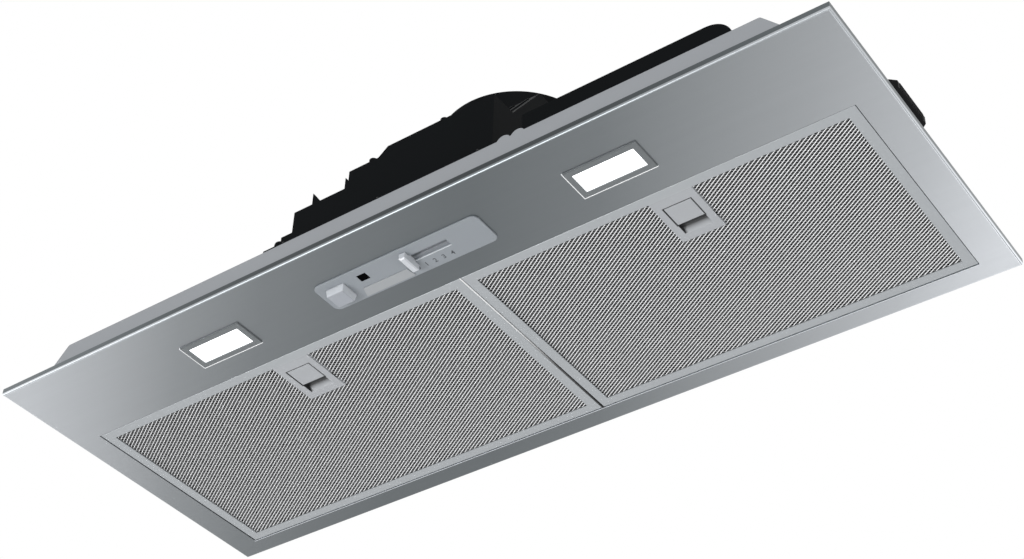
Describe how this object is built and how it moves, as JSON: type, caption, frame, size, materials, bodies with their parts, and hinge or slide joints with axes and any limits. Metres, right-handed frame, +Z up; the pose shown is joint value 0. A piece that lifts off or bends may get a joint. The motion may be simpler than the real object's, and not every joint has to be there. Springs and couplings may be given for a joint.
{
  "type": "range hood insert",
  "caption": "Slim built-in range hood insert: steel face with grease filters, lamps and slide control, tray chassis, blower housing with round outlet and flaps.",
  "frame": {"origin": "centre of the cabinet cut-out, on the plane where the folded rim bears on the underside of the cabinet", "axes": "+X along the face to the right seen from the front, +Y to the wall, +Z up into the cabinet"},
  "size_m": [0.7, 0.28, 0.1772],
  "materials": {
    "face_steel": "brushed",
    "coated_steel": "satin",
    "filter_aluminium": "satin",
    "spring_steel": "plain",
    "grey_plastic": "satin",
    "pale_plastic": "satin",
    "window_black": "gloss",
    "bezel_grey": "satin",
    "lamp_glass": "frosted",
    "cast_aluminium": "cast",
    "black_plastic": "satin",
    "motor_paint": "satin",
    "black_rubber": "matt",
    "board_green": "satin",
    "terminal_white": "satin"
  },
  "bodies": {
    "housing": {"face_panel": "face_steel", "bay_divider": "face_steel", "chassis": "coated_steel", "clip_pins": "spring_steel", "clip_springs": "spring_steel", "flap_pin": "spring_steel", "motor_bracket": "spring_steel", "blower_screws": "spring_steel", "clip_bracket_left": "spring_steel", "clip_bracket_right": "spring_steel", "control_plate": "grey_plastic", "indicator_window": "window_black", "lamp_bezel_left": "bezel_grey", "lamp_bezel_right": "bezel_grey", "lamp_lens_left": "lamp_glass", "lamp_lens_right": "lamp_glass", "lamp_module_left": "cast_aluminium", "lamp_module_right": "cast_aluminium", "run_capacitor": "cast_aluminium", "switch_housing": "black_plastic", "blower_tray": "black_plastic", "blower_cover": "black_plastic", "outlet_spigot": "black_plastic", "volute_left": "black_plastic", "volute_right": "black_plastic", "electronics_tray": "black_plastic", "electronics_lid": "black_plastic", "cable_gland": "black_plastic", "motor": "motor_paint", "motor_bushes": "black_rubber", "circuit_board": "board_green", "terminal_block": "terminal_white"},
    "filter_left": {"filter_frame_left": "filter_aluminium", "filter_face_mesh_left": "filter_aluminium", "filter_core_left": "filter_aluminium", "filter_back_mesh_left": "filter_aluminium", "filter_tabs_left": "spring_steel", "latch_plate_left": "grey_plastic", "latch_springs_left": "spring_steel"},
    "latch_left": {"latch_button_left": "grey_plastic"},
    "clip_left": {"side_clip_left": "black_plastic"},
    "filter_right": {"filter_frame_right": "filter_aluminium", "filter_face_mesh_right": "filter_aluminium", "filter_core_right": "filter_aluminium", "filter_back_mesh_right": "filter_aluminium", "filter_tabs_right": "spring_steel", "latch_plate_right": "grey_plastic", "latch_springs_right": "spring_steel"},
    "latch_right": {"latch_button_right": "grey_plastic"},
    "clip_right": {"side_clip_right": "black_plastic"},
    "light_switch": {"light_switch_knob": "pale_plastic"},
    "speed_slider": {"speed_slider_knob": "pale_plastic"},
    "fan": {"impeller": "black_plastic", "motor_shaft": "spring_steel"},
    "flap_front": {"damper_flap_front": "black_plastic"},
    "flap_back": {"damper_flap_back": "black_plastic"}
  },
  "joints": [
    {"name": "filter_tilt_left", "type": "hinge", "parent": "housing", "child": "filter_left", "pos_m": [-0.1523, 0.1222, -0.006], "axis": [1, 0, 0], "range_deg": [0, 75]},
    {"name": "latch_slide_left", "type": "slide", "parent": "filter_left", "child": "latch_left", "axis": [0, 1, 0], "range_m": [0, 0.005], "stiffness_N_per_m": 300, "springref_m": -0.005},
    {"name": "clip_snap_left", "type": "hinge", "parent": "housing", "child": "clip_left", "pos_m": [-0.3346, -0.0105, 0.005], "axis": [0, 1, 0], "range_deg": [0, 25], "stiffness_Nm_per_rad": 0.06, "springref_deg": -17.19},
    {"name": "filter_tilt_right", "type": "hinge", "parent": "housing", "child": "filter_right", "pos_m": [0.1743, 0.1222, -0.006], "axis": [1, 0, 0], "range_deg": [0, 75]},
    {"name": "latch_slide_right", "type": "slide", "parent": "filter_right", "child": "latch_right", "axis": [0, 1, 0], "range_m": [0, 0.005], "stiffness_N_per_m": 300, "springref_m": -0.005},
    {"name": "clip_snap_right", "type": "hinge", "parent": "housing", "child": "clip_right", "pos_m": [0.3346, -0.0105, 0.005], "axis": [0, -1, 0], "range_deg": [0, 25], "stiffness_Nm_per_rad": 0.06, "springref_deg": -17.19},
    {"name": "light_switch_press", "type": "slide", "parent": "housing", "child": "light_switch", "axis": [0, 0, 1], "range_m": [0, 0.003], "stiffness_N_per_m": 300, "springref_m": -0.004},
    {"name": "speed_slide", "type": "slide", "parent": "housing", "child": "speed_slider", "axis": [1, 0, 0], "range_m": [0, 0.0294]},
    {"name": "fan_spin", "type": "hinge", "parent": "housing", "child": "fan", "pos_m": [0.025, -0.031, 0.078], "axis": [1, 0, 0], "continuous": true},
    {"name": "flap_back_swing", "type": "hinge", "parent": "housing", "child": "flap_back", "pos_m": [0.025, 0, 0.146], "axis": [1, 0, 0], "range_deg": [0, 80]},
    {"name": "flap_front_swing", "type": "hinge", "parent": "housing", "child": "flap_front", "pos_m": [0.025, 0, 0.146], "axis": [-1, 0, 0], "range_deg": [0, 80]}
  ]
}
